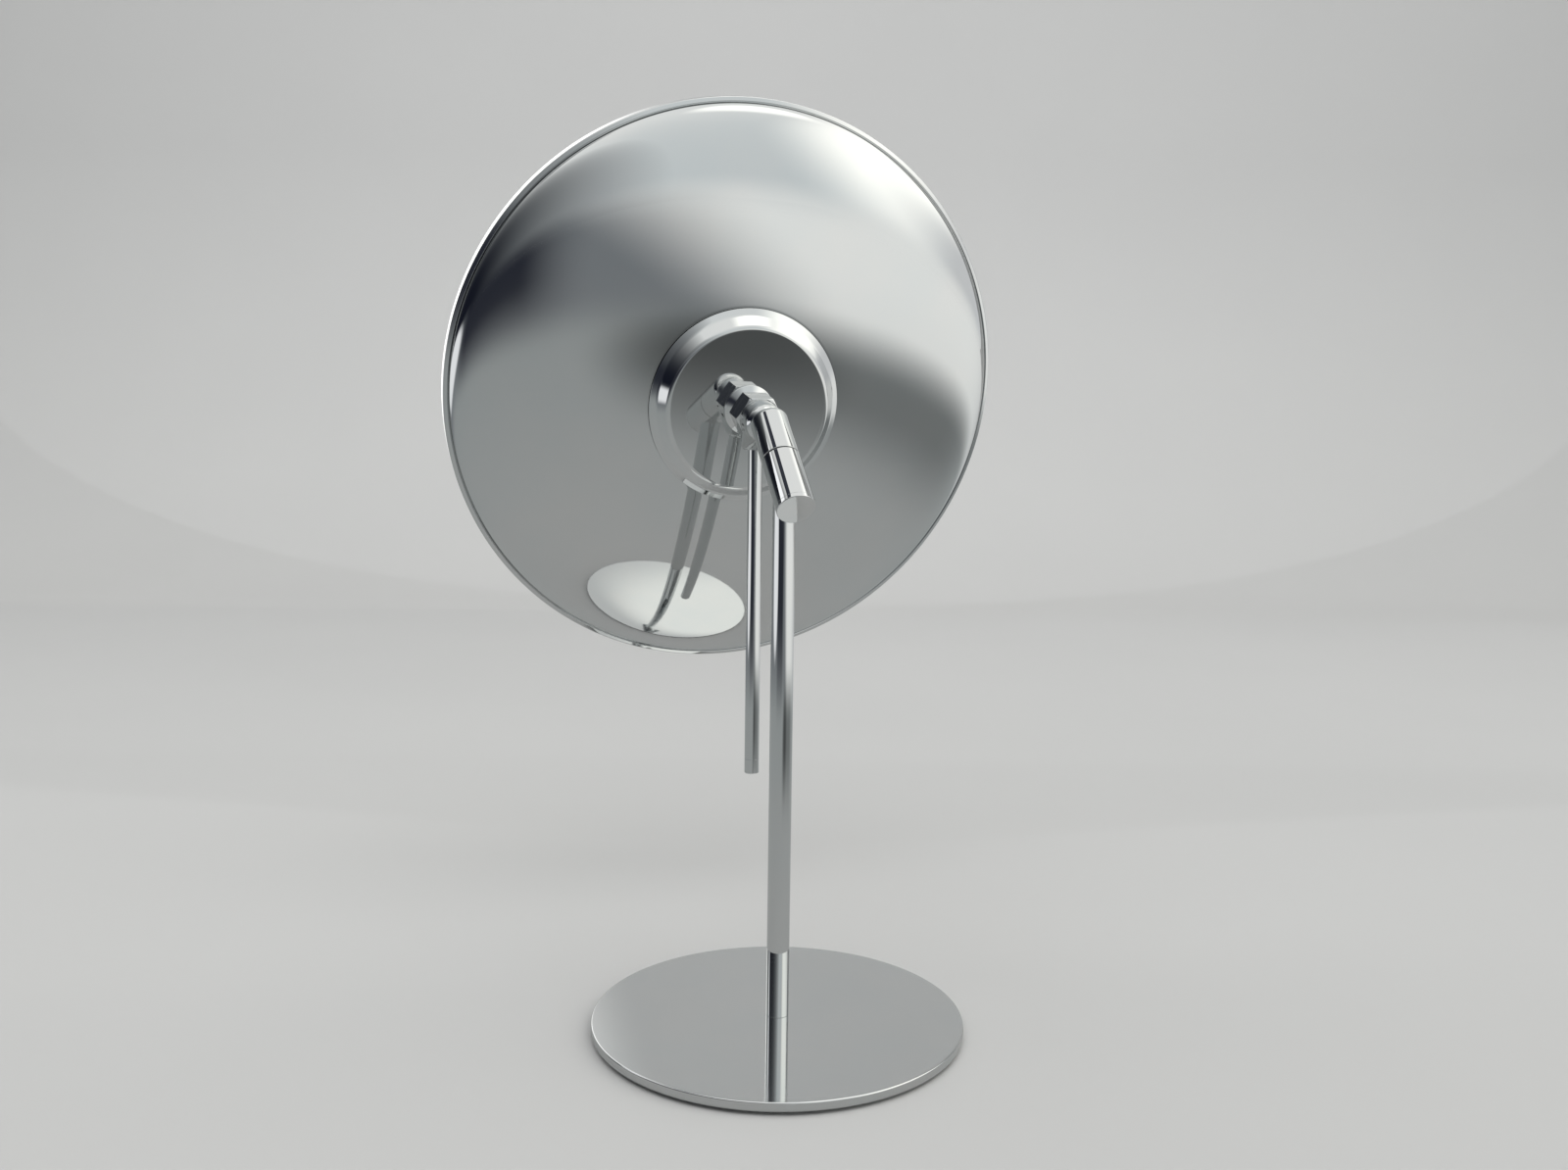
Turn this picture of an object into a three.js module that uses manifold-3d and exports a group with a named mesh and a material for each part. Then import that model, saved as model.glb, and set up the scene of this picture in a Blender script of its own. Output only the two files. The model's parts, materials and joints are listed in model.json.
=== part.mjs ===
// Extendable shaving mirror: a round foot, a post, a 45 degree swivel head, a sliding rod and a
// round mirror on a ball joint. Millimetres, +Z up, origin at the centre of the foot's underside.
// The glass faces -Y; the post stands on the Z axis and every axis of the mechanism lies in x = 0.
import * as THREE from 'three';
import { mergeVertices } from 'three/addons/utils/BufferGeometryUtils.js';
import { ConvexGeometry } from 'three/addons/geometries/ConvexGeometry.js';
import Module from 'manifold-3d';

const wasm = await Module();
wasm.setup();

// ---- driving dimensions -------------------------------------------------------------------
const GAP = 0.3; // between pieces that touch

const PAD_T = 1.2, PAD_R = 69.5; // non-slip pad
const FOOT_R = 72.5, FOOT_T = 3.6; // steel foot
const FOOT_TOP = PAD_T + GAP + FOOT_T;
const POST_R = 4.4;

const AXIS_Z = 217.4; // where the inclined axis crosses the post's axis
const INCLINE = 45; // degrees from the vertical
const HEAD_R = 7.5; // radius of both halves of the swivel
const HEAD_END = -19.4, HEAD_SPLIT = 5.5, HEAD_TOP = 29.0; // along the inclined axis
const SPINDLE_R = 2.4;

const MIRROR_LEAN = 74; // degrees from the vertical to the mirror's axis
const PIVOT_ON_AXIS = 22.8; // along the inclined axis, where the mirror's axis crosses it
const HUB_R = 8.2;
const NUT_AF = 17.0;
const KNUCKLE = [15.0, 21.9]; // stations along the mirror's axis
const LOCK_NUT = [22.2, 26.3];
const RING = [27.6, 30.1];
const BOSS_FACE = 30.4;
const BALL_AT = 31.6, BALL_R = 4.7;
const BOSS_R = 40.4, BOSS_FLAT_R = 33.0, BOSS_BASE = 36.2;
const DOME_EDGE = 54.2, DOME_R = 117.4, DOME_T = 1.2;
const RIM_R = 119.6, RIM_END = 60.4;
const GLASS_R = 116.0, GLASS_T = 3.0;

const ROD_Y = -36.2, ROD_R = 2.95;
const ROD_FOOT = 93.2, ROD_TOP = 229.0;
const EYE_R = 5.8, EYE_FOOT = 225.6;

// ---- materials ----------------------------------------------------------------------------
const mat = (color, roughness, metalness) =>
  new THREE.MeshStandardMaterial({ color, roughness, metalness });
const chrome = mat(0xd6d8d9, 0.06, 1);
const steel = mat(0x9a9c9e, 0.35, 1);
const brass = mat(0xb08d4a, 0.35, 1);
const nylon = mat(0xe8e6df, 0.55, 0);
const blackPlastic = mat(0x1d1e20, 0.6, 0);
const padRubber = mat(0x26282a, 0.9, 0);
const foam = mat(0x4a4a48, 0.95, 0);
const silvered = mat(0xeef1f2, 0.02, 1);

// ---- helpers ------------------------------------------------------------------------------
const rad = THREE.MathUtils.degToRad;

// solid of revolution about +Z; the profile is [radius, z] points, closed on the axis or on itself
function turned(profile, segments = 24) {
  const points = profile.map(([r, z]) => new THREE.Vector2(r, z));
  if (THREE.ShapeUtils.area(points) < 0) points.reverse();
  const onAxis = points[0].x === 0 && points.at(-1).x === 0;
  if (!onAxis) points.push(points[0].clone());
  return new THREE.LatheGeometry(points, segments).rotateX(Math.PI / 2);
}
const rod = (r, z0, z1, segments = 20) => turned([[0, z0], [r, z0], [r, z1], [0, z1]], segments);
const ring = (r0, r1, z0, z1, segments = 24) =>
  turned([[r0, z0], [r1, z0], [r1, z1], [r0, z1]], segments);

// points on an arc, angles in degrees from +r towards +z
function arc(cr, cz, radius, from, to, steps) {
  return Array.from({ length: steps + 1 }, (_, i) => {
    const a = rad(from + ((to - from) * i) / steps);
    return [cr + radius * Math.cos(a), cz + radius * Math.sin(a)];
  });
}

function toSolid(geometry) {
  const g = geometry.clone();
  g.deleteAttribute('normal');
  g.deleteAttribute('uv');
  const m = mergeVertices(g, 1e-4);
  const p = m.attributes.position;
  const tri = [];
  for (let i = 0; i < m.index.count; i += 3) {
    const [a, b, c] = [m.index.getX(i), m.index.getX(i + 1), m.index.getX(i + 2)];
    if (a !== b && b !== c && c !== a) tri.push(a, b, c);
  }
  const mesh = new wasm.Mesh({
    numProp: 3, vertProperties: new Float32Array(p.array), triVerts: new Uint32Array(tri),
  });
  const solid = new wasm.Manifold(mesh);
  if (solid.volume() < 0) throw new Error('inside out');
  return solid;
}
function toGeometry(solid) {
  const mesh = solid.getMesh();
  const g = new THREE.BufferGeometry();
  g.setAttribute('position', new THREE.BufferAttribute(new Float32Array(mesh.vertProperties), 3));
  g.setIndex(new THREE.BufferAttribute(new Uint32Array(mesh.triVerts), 1));
  g.computeVertexNormals();
  return g;
}
const join = (...parts) => parts.map(toSolid).reduce((a, b) => a.add(b));
const cut = (solid, ...tools) => tools.map(toSolid).reduce((a, b) => a.subtract(b), solid);

// hexagonal bar about +Z with chamfered corners at the ends asked for
function hexBar(acrossFlats, z0, z1, chamferStart, chamferEnd) {
  const corner = acrossFlats / 2 / Math.cos(Math.PI / 6);
  const bar = new THREE.CylinderGeometry(corner, corner, z1 - z0, 6)
    .rotateX(Math.PI / 2).rotateZ(Math.PI / 6).translate(0, 0, (z0 + z1) / 2);
  const face = acrossFlats / 2 - 0.2, drop = (corner - face) * 0.55;
  const profile = [[0, z0 - (chamferStart ? 0 : 1)]];
  if (chamferStart) profile.push([face, z0], [corner + 0.1, z0 + drop]);
  else profile.push([corner + 1, z0 - 1]);
  if (chamferEnd) profile.push([corner + 0.1, z1 - drop], [face, z1], [0, z1]);
  else profile.push([corner + 1, z1 + 1], [0, z1 + 1]);
  return toSolid(bar).intersect(toSolid(turned(profile, 36)));
}

// hexagonal key recess between two heights
function hexKey(r, a, b) {
  return new THREE.CylinderGeometry(r, r, b - a, 6).rotateX(Math.PI / 2)
    .translate(0, 0, (a + b) / 2);
}

// ---- frames -------------------------------------------------------------------------------
const mirror = new THREE.Group();
mirror.name = 'extendable_shaving_mirror';

// local +Z runs up the swivel's inclined axis, towards the glass
const inclined = new THREE.Group();
inclined.position.set(0, 0, AXIS_Z);
inclined.rotation.x = rad(INCLINE);
mirror.add(inclined);

// local +Z runs along the mirror's axis, out through the glass; its zero is inside the swivel head
const across = PIVOT_ON_AXIS * Math.SQRT1_2;
const axial = new THREE.Group();
axial.position.set(0, -across, AXIS_Z + across);
axial.rotation.x = rad(MIRROR_LEAN);
mirror.add(axial);
for (const g of [inclined, axial]) g.updateMatrix();

// local +Z runs up the sliding rod
const upright = new THREE.Group();
upright.position.set(0, ROD_Y, 0);
mirror.add(upright);
upright.updateMatrix();

const inParent = (geometry, frame) => geometry.clone().applyMatrix4(frame.matrix);
const toFrame = (geometry, from, to) =>
  inParent(geometry, from).applyMatrix4(to.matrix.clone().invert());

function add(name, shape, material, frame = mirror) {
  const mesh = new THREE.Mesh(shape.isBufferGeometry ? shape : toGeometry(shape), material);
  mesh.name = name;
  frame.add(mesh);
}

// ---- foot and post ------------------------------------------------------------------------
add('base_pad', rod(PAD_R, 0, PAD_T, 64), padRubber);

const z0 = PAD_T + GAP;
add('base_disc', turned([
  [3.4, z0 + 1.9], [6.6, z0 + 1.9], [6.6, z0], [FOOT_R - 0.5, z0], [FOOT_R, z0 + 0.5],
  [FOOT_R, FOOT_TOP - 0.6], [FOOT_R - 0.6, FOOT_TOP], [3.4, FOOT_TOP],
], 64), chrome);

add('base_washer', ring(3.3, 6.2, z0 + 1.2, z0 + 1.6), steel);
add('base_screw', cut(toSolid(turned([
  [0, z0], [4.6, z0], [4.9, z0 + 0.2], [4.9, z0 + 0.9], [2.5, z0 + 0.9], [2.5, 16], [0, 16.8],
], 24)), hexKey(2.0, z0 - 1, z0 + 0.6)), steel);

const headBarrel = rod(HEAD_R + GAP, HEAD_END - 5, HEAD_TOP + 5, 32);
add('post', cut(
  toSolid(rod(POST_R, FOOT_TOP + GAP, AXIS_Z, 32)),
  inParent(headBarrel, inclined),
  rod(2.8, FOOT_TOP, 18.5, 24),
), chrome);

// ---- swivel -------------------------------------------------------------------------------
add('post_head', turned([
  [5.4, HEAD_END + 1.9], [HEAD_R, HEAD_END + 1.9], [HEAD_R, HEAD_SPLIT - 0.15],
  [HEAD_R - 0.15, HEAD_SPLIT], [SPINDLE_R + GAP, HEAD_SPLIT], [SPINDLE_R + GAP, -7.0],
  [5.4, -7.0],
], 32), chrome, inclined);
add('head_cap', turned([
  [0, HEAD_END], [HEAD_R - 0.3, HEAD_END], [HEAD_R, HEAD_END + 0.3], [HEAD_R, HEAD_END + 1.6],
  [5.1, HEAD_END + 1.6], [5.1, HEAD_END + 3.6], [0, HEAD_END + 3.6],
], 32), chrome, inclined);

add('spindle', turned([
  [0, -15.2], [SPINDLE_R, -15.2], [SPINDLE_R, 12.0], [0, 12.0],
], 24), steel, inclined);
add('spindle_nut', cut(hexBar(8, -14.0, -10.6, true, false), rod(SPINDLE_R + 0.2, -16, -8, 24)),
  steel, inclined);
for (const [name, base, flip] of [['cone_washer_a', -10.3, 1], ['cone_washer_b', -8.7, -1]]) {
  const lift = 0.55, t = 0.55;
  const [zi, zo] = flip > 0 ? [base + lift, base] : [base, base + lift];
  add(name, turned([[2.75, zi], [4.9, zo], [4.9, zo + t], [2.75, zi + t]], 24), steel, inclined);
}
add('friction_washer', ring(2.9, 6.9, HEAD_SPLIT + GAP, HEAD_SPLIT + 0.9, 40), blackPlastic,
  inclined);

// the swivel head is one casting: the inclined barrel, the round hub behind the nuts, and the
// eye that the rod slides through
const SWIVEL_FOOT = HEAD_SPLIT + 1.2;
const barrel = turned([
  [0, SWIVEL_FOOT], [HEAD_R - 0.15, SWIVEL_FOOT], [HEAD_R, SWIVEL_FOOT + 0.15],
  ...arc(HEAD_R - 3, HEAD_TOP - 3, 3, 0, 90, 4), [0, HEAD_TOP],
], 32);
const hub = toFrame(turned([
  [0, 4.0], [4.0, 4.6], ...arc(HUB_R - 4.5, 10.2, 4.5, -75, 0, 4), [HUB_R, KNUCKLE[0] - 0.9],
  [HUB_R - 0.6, KNUCKLE[0] - GAP], [0, KNUCKLE[0] - GAP],
], 32), axial, inclined);

// round-bottomed body that gathers the hub into the eye around the rod
const eyePoints = [];
for (let i = 0; i < 16; i++) {
  const a = (i / 16) * 2 * Math.PI;
  const at = (x, y, z) => eyePoints.push(new THREE.Vector3(x, y, z));
  at((EYE_R - 1.6) * Math.cos(a), ROD_Y + (EYE_R - 1.6) * Math.sin(a), EYE_FOOT);
  at((EYE_R - 0.4) * Math.cos(a), ROD_Y + (EYE_R - 0.4) * Math.sin(a), EYE_FOOT + 1.2);
  at(EYE_R * Math.cos(a), ROD_Y + EYE_R * Math.sin(a), EYE_FOOT + 3.0);
  at(EYE_R * Math.cos(a), ROD_Y + EYE_R * Math.sin(a), EYE_FOOT + 8.0);
  for (const e of [-60, -35, -10, 15]) {
    const r = 7.6 * Math.cos(rad(e));
    at(r * Math.cos(a), -26.4 + r * Math.sin(a), 235.4 + 7.6 * Math.sin(rad(e)));
  }
}
const eye = new ConvexGeometry(eyePoints).applyMatrix4(inclined.matrix.clone().invert());

// room for the knuckle, which lifts off the eye as the rod is drawn up
const nutCorner = NUT_AF / Math.sqrt(3);
const room = toFrame(new THREE.CylinderGeometry(nutCorner + 0.4, nutCorner + 0.4, 40, 6)
  .rotateX(Math.PI / 2).rotateZ(Math.PI / 6)
  .translate(0, 0, KNUCKLE[0] - GAP + 20.001), axial, inclined);
const boxAbove = toFrame(new THREE.BoxGeometry(40, 40, 40)
  .translate(0, 20, KNUCKLE[0] - GAP + 20.001), axial, inclined);
const eyeBore = toFrame(rod(ROD_R + 0.9, 200, 260, 32), upright, inclined);
const slots = [0, 1, 2].flatMap((i) => [-1, 1].map((side) => toFrame(
  new THREE.BoxGeometry(1.6, 0.9, 3.2).rotateY(side * 0.3)
    .translate(side * 8.0, -1.2 - 2.1 * i, 11.4), axial, inclined)));
add('swivel_head', cut(
  join(barrel, hub, eye), room, boxAbove, eyeBore,
  rod(SPINDLE_R + GAP, SWIVEL_FOOT - 1, 12.4, 24), ...slots,
), chrome, inclined);

// ---- sliding rod --------------------------------------------------------------------------
add('eye_bush', ring(ROD_R + 0.3, ROD_R + 0.6, EYE_FOOT + 0.2, EYE_FOOT + 3.4, 32), nylon, upright);
add('rod', turned([
  [0, ROD_FOOT + 3.3], [2.0, ROD_FOOT + 3.3], [2.0, ROD_FOOT + 6.3], [ROD_R, ROD_FOOT + 6.3],
  [ROD_R, ROD_TOP], [2.0, ROD_TOP], [2.0, ROD_TOP + 3.6], [0, ROD_TOP + 3.6],
], 32), chrome, upright);
add('rod_button', turned([
  [0, ROD_FOOT], [ROD_R - 0.5, ROD_FOOT], [ROD_R, ROD_FOOT + 0.5], [ROD_R, ROD_FOOT + 6.0],
  [2.3, ROD_FOOT + 6.0], [2.3, ROD_FOOT + 3.0], [0, ROD_FOOT + 3.0],
], 32), chrome, upright);

add('knuckle', cut(
  hexBar(NUT_AF, KNUCKLE[0], KNUCKLE[1], true, false),
  toFrame(rod(2.3, 200, ROD_TOP + 3.9, 24), upright, axial),
  rod(2.6, KNUCKLE[1] - 3.6, KNUCKLE[1] + 1, 24),
), chrome, axial);
add('lock_nut', cut(
  hexBar(NUT_AF, LOCK_NUT[0], LOCK_NUT[1], false, true),
  rod(2.6, LOCK_NUT[0] - 1, LOCK_NUT[1] + 1, 24),
), chrome, axial);

// ---- ball joint ---------------------------------------------------------------------------
add('ball_stud', turned([
  [0, KNUCKLE[1] - 3.2], [2.1, KNUCKLE[1] - 3.2],
  ...arc(0, BALL_AT, BALL_R, -63.5, 80, 7), [0, BALL_AT + BALL_R],
], 20), steel, axial);
add('socket_ring', turned([
  ...arc(0, BALL_AT, 5.05, -47, 0, 3), [8.7, BALL_AT], [8.7, RING[1]], [10.4, RING[1]],
  [10.4, RING[1] - 0.4], [9.5, RING[0] + 1.6], [8.0, RING[0] + 1.1], [6.3, RING[0] + 0.55],
  [4.6, RING[0] + 0.1],
], 32), chrome, axial);
add('ball_liner', turned([
  ...arc(0, BALL_AT, 5.0, 15, 60, 4), ...arc(0, BALL_AT, 5.7, 60, 15, 4),
], 20), nylon, axial);
add('cup', turned([
  ...arc(0, BALL_AT, 6.0, 5, 50, 3), [3.4, BALL_AT + 7.4], [8.6, BALL_AT + 7.4],
  [8.6, BALL_AT + 0.6],
], 24), brass, axial);
add('cup_spring', turned([
  [3.6, BALL_AT + 7.7], [8.4, BALL_AT + 8.5], [8.4, BALL_AT + 9.1], [3.6, BALL_AT + 8.3],
], 24), steel, axial);
add('cup_plug', cut(toSolid(turned([
  [0, BALL_AT + 9.4], [8.7, BALL_AT + 9.4], [8.7, BALL_AT + 11.4], [0, BALL_AT + 11.4],
], 32)), hexKey(3.0, BALL_AT + 10.4, BALL_AT + 12)), brass, axial);

// ---- mirror head --------------------------------------------------------------------------
const SCREW_CIRCLE = 24, SCREWS = 3;
const screwAt = (i) => new THREE.Vector2(SCREW_CIRCLE, 0)
  .rotateAround(new THREE.Vector2(), rad(90 + (360 / SCREWS) * i));
const screwHoles = (r, a, b) => Array.from({ length: SCREWS }, (_, i) =>
  rod(r, a, b, 16).translate(screwAt(i).x, screwAt(i).y, 0));

add('boss_plate', cut(toSolid(turned([
  [9.0, BOSS_FACE], [BOSS_FLAT_R, BOSS_FACE],
  ...arc(BOSS_FLAT_R, BOSS_FACE + 2.6, 2.6, -72, -42, 3), [BOSS_R - 2.4, BOSS_BASE - 1.6],
  [BOSS_R - 1.3, BOSS_BASE - 0.8], [BOSS_R, BOSS_BASE - 0.3], [BOSS_R, BOSS_BASE], [12.6, BOSS_BASE], [12.6, BALL_AT + 11.9], [9.0, BALL_AT + 11.9],
], 48)), ...screwHoles(1.6, BOSS_FACE + 1.6, 60)), chrome, axial);

// pressed shell: a flat seat for the boss, then an elliptical dome out to a straight edge
const domeAt = (r, shrink) => {
  const a = DOME_R - shrink, b = DOME_EDGE - BOSS_BASE - GAP + 0.8 - shrink;
  return DOME_EDGE - b * Math.sqrt(Math.max(0, 1 - (r / a) ** 2));
};
const domeRadii = (shrink) => Array.from({ length: 9 }, (_, i) =>
  (DOME_R - shrink) * Math.sin(rad(19.6 + (70.4 * i) / 8)));
const seat = domeAt(domeRadii(0)[0], 0);
add('back_shell', cut(toSolid(turned([
  [13.0, seat], ...domeRadii(0).map((r) => [r, domeAt(r, 0)]),
  [DOME_R, DOME_EDGE + 1.0], [DOME_R - DOME_T, DOME_EDGE + 1.0],
  ...domeRadii(DOME_T).reverse().map((r) => [r, domeAt(r, DOME_T)]),
  [13.0, seat + DOME_T],
], 64)), ...screwHoles(1.9, 30, 50)), chrome, axial);

for (let i = 0; i < SCREWS; i++) {
  const seatTop = seat + DOME_T + GAP;
  add(`boss_screw_${i + 1}`, cut(toSolid(turned([
    [0, BOSS_FACE + 2.2], [1.3, BOSS_FACE + 2.2], [1.3, seatTop], [3.0, seatTop],
    [3.0, seatTop + 1.2], [2.4, seatTop + 1.9], [0, seatTop + 1.9],
  ], 20)), hexKey(1.2, seatTop + 0.9, seatTop + 3))
    .translate([screwAt(i).x, screwAt(i).y, 0]), steel, axial);
}

const GLASS_BACK = RIM_END - 0.9 - GLASS_T;
add('backing_plate', ring(16, 113.5, GLASS_BACK - 1.9, GLASS_BACK - 0.9, 48), blackPlastic, axial);
add('glass_pad', ring(20, 110, GLASS_BACK - 0.6, GLASS_BACK - 0.3, 48), foam, axial);
add('mirror_glass', turned([
  [0, GLASS_BACK], [GLASS_R, GLASS_BACK], [GLASS_R, RIM_END - 1.6],
  [GLASS_R - 0.7, RIM_END - 0.9], [0, RIM_END - 0.9],
], 64), silvered, axial);
add('rim_ring', turned([
  [GLASS_R + GAP, GLASS_BACK - 0.2], [114.2, GLASS_BACK - 0.2], [114.2, DOME_EDGE + 1.3],
  [DOME_R + GAP, DOME_EDGE + 1.3], [DOME_R + GAP, DOME_EDGE - 0.3], [DOME_R + 1.0, DOME_EDGE - 0.7],
  [RIM_R - 0.4, DOME_EDGE - 0.3], [RIM_R, DOME_EDGE + 0.5], [RIM_R, RIM_END - 0.8],
  [RIM_R - 0.8, RIM_END], [GLASS_R - 1.2, RIM_END], [GLASS_R - 1.4, RIM_END - 0.55],
  [GLASS_R - 0.3, RIM_END - 0.55], [GLASS_R + GAP, RIM_END - 1.2],
], 64), chrome, axial);

export default mirror;
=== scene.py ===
# Extendable shaving mirror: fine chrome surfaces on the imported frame, with studio and camera.
import json
import math

import bmesh
import bpy
import numpy as np
from mathutils import Matrix, Vector

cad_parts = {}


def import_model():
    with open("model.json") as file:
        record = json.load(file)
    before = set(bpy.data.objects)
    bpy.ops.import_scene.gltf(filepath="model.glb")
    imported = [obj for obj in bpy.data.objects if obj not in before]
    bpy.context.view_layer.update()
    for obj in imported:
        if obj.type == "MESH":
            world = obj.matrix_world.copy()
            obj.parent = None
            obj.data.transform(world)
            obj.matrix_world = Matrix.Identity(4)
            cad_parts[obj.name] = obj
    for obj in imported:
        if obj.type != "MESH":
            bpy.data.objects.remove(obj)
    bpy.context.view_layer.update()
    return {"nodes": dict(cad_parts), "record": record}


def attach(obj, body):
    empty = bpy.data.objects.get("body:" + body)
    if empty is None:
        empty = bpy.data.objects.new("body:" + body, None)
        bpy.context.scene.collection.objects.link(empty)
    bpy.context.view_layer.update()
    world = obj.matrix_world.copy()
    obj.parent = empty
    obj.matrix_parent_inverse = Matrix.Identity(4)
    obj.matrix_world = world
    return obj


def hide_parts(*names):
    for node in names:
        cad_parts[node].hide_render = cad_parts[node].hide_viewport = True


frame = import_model()

MM = 0.001

# ---- driving dimensions of the frame, mm -----------------------------------------------------
PAD_T, PAD_R = 1.2, 69.5
FOOT_R, FOOT_TOP = 72.5, 5.1
POST_R = 4.4
AXIS_Z, INCLINE = 217.4, 45.0
HEAD_R, HEAD_END, HEAD_SPLIT, HEAD_TOP = 7.5, -19.4, 5.5, 29.0
MIRROR_LEAN, PIVOT = 74.0, 22.8
HUB_R, NUT_AF = 8.2, 17.0
KNUCKLE, LOCK_NUT, RING = (15.0, 21.9), (22.2, 26.3), (27.6, 30.1)
BOSS_FACE, BALL_AT = 30.4, 31.6
BOSS_R, BOSS_FLAT_R, BOSS_BASE = 40.4, 33.0, 36.2
DOME_EDGE, DOME_R, DOME_T = 54.2, 117.4, 1.2
RIM_R, RIM_END = 119.6, 60.4
GLASS_R = 116.0
ROD_Y, ROD_R, ROD_FOOT, ROD_TOP = -36.2, 2.95, 93.2, 229.0
EYE_R, EYE_FOOT = 5.8, 225.6

# ---- frames ---------------------------------------------------------------------------------
across = PIVOT * math.sqrt(0.5)
WORLD = Matrix.Identity(4)
INCLINED = Matrix.Translation((0, 0, AXIS_Z * MM)) @ Matrix.Rotation(math.radians(INCLINE), 4, "X")
AXIAL = Matrix.Translation((0, -across * MM, (AXIS_Z + across) * MM)) @ Matrix.Rotation(
    math.radians(MIRROR_LEAN), 4, "X"
)
UPRIGHT = Matrix.Translation((0, ROD_Y * MM, 0))


# ---- materials ------------------------------------------------------------------------------
def new_material(name):
    m = bpy.data.materials.new(name)
    m.use_nodes = True
    nodes, links = m.node_tree.nodes, m.node_tree.links
    return m, nodes, links, nodes["Principled BSDF"]


def noise(nodes, links, scale, detail=2.0, stretch=None, rough=0.5):
    coord = nodes.new("ShaderNodeTexCoord")
    tex = nodes.new("ShaderNodeTexNoise")
    tex.inputs["Scale"].default_value = scale
    tex.inputs["Detail"].default_value = detail
    tex.inputs["Roughness"].default_value = rough
    source = coord.outputs["Object"]
    if stretch:
        mapping = nodes.new("ShaderNodeMapping")
        mapping.inputs["Scale"].default_value = stretch
        links.new(source, mapping.inputs["Vector"])
        source = mapping.outputs["Vector"]
    links.new(source, tex.inputs["Vector"])
    return tex.outputs["Fac"]


def remap(nodes, links, value, a0, a1, b0, b1):
    r = nodes.new("ShaderNodeMapRange")
    for key, v in zip(("From Min", "From Max", "To Min", "To Max"), (a0, a1, b0, b1)):
        r.inputs[key].default_value = v
    links.new(value, r.inputs["Value"])
    return r.outputs["Result"]


def mix_colour(nodes, links, fac, a, b):
    m = nodes.new("ShaderNodeMix")
    m.data_type = "RGBA"
    m.inputs["A"].default_value = (*a, 1)
    m.inputs["B"].default_value = (*b, 1)
    links.new(fac, m.inputs["Factor"])
    return m.outputs["Result"]


def add_bump(nodes, links, bsdf, layers):
    """layers: (height socket, strength, distance in metres), coarsest first"""
    previous = None
    for height, strength, distance in layers:
        b = nodes.new("ShaderNodeBump")
        b.inputs["Strength"].default_value = strength
        b.inputs["Distance"].default_value = distance
        links.new(height, b.inputs["Height"])
        if previous is not None:
            links.new(previous, b.inputs["Normal"])
        previous = b.outputs["Normal"]
    links.new(previous, bsdf.inputs["Normal"])


def chrome(name, tone=0.63, rough=(0.018, 0.05), wave=0.0, wave_scale=14.0):
    """polished chrome plate: faint haze and wipe marks, and a slow wave on pressed sheet"""
    m, nodes, links, bsdf = new_material(name)
    bsdf.inputs["Metallic"].default_value = 1.0
    haze = noise(nodes, links, 38.0, 5.0)
    colour = mix_colour(
        nodes, links, remap(nodes, links, haze, 0.3, 0.7, 0, 1),
        (tone * 0.955, tone * 0.985, tone * 0.99), (tone * 0.985, tone, tone * 0.998),
    )
    links.new(colour, bsdf.inputs["Base Color"])
    wipe = noise(nodes, links, 9.0, 6.0, stretch=(1.0, 1.0, 7.0), rough=0.65)
    links.new(remap(nodes, links, wipe, 0.42, 0.75, *rough), bsdf.inputs["Roughness"])
    layers = [(noise(nodes, links, 2600.0, 1.0), 0.05, 0.000004)]
    if wave:
        layers.insert(0, (noise(nodes, links, wave_scale, 0.0), 1.0, wave))
    add_bump(nodes, links, bsdf, layers)
    return m


def metal(name, colour, worn, rough=(0.25, 0.45), grain=(60, 60, 2400)):
    m, nodes, links, bsdf = new_material(name)
    bsdf.inputs["Metallic"].default_value = 1.0
    n = noise(nodes, links, 1.0, 4.0, stretch=grain)
    links.new(mix_colour(nodes, links, n, colour, worn), bsdf.inputs["Base Color"])
    links.new(remap(nodes, links, n, 0.3, 0.7, *rough), bsdf.inputs["Roughness"])
    add_bump(nodes, links, bsdf, [(n, 0.25, 0.00003)])
    return m


def plastic(name, colour, second, rough=(0.45, 0.65), pores=1800.0, depth=0.00004, sheen=0.0):
    m, nodes, links, bsdf = new_material(name)
    n = noise(nodes, links, pores, 3.0)
    slow = noise(nodes, links, 45.0, 2.0)
    links.new(mix_colour(nodes, links, slow, colour, second), bsdf.inputs["Base Color"])
    links.new(remap(nodes, links, n, 0.3, 0.7, *rough), bsdf.inputs["Roughness"])
    bsdf.inputs["Sheen Weight"].default_value = sheen
    add_bump(nodes, links, bsdf, [(n, 0.35, depth)])
    return m


CHROME = chrome("chrome_turned")
CHROME_SHELL = chrome("chrome_pressed", rough=(0.02, 0.06), wave=0.00006)
CHROME_FOOT = chrome("chrome_foot", rough=(0.035, 0.085), wave=0.00003, wave_scale=18.0)
CHROME_NUT = chrome("chrome_nut", tone=0.62, rough=(0.03, 0.08))
STEEL = metal("zinc_steel", (0.46, 0.47, 0.48), (0.62, 0.62, 0.61))
BRASS = metal("turned_brass", (0.62, 0.45, 0.19), (0.74, 0.58, 0.30))
NYLON = plastic("nylon", (0.80, 0.79, 0.74), (0.72, 0.71, 0.66))
BLACK = plastic("black_moulded", (0.018, 0.018, 0.02), (0.03, 0.03, 0.032))
RUBBER = plastic("pad_rubber", (0.012, 0.012, 0.013), (0.022, 0.022, 0.023), (0.7, 0.9), 900.0,
                 0.00012, 0.15)
FOAM = plastic("foam_tape", (0.06, 0.06, 0.058), (0.10, 0.10, 0.095), (0.85, 0.95), 1400.0, 0.0003)


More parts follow.
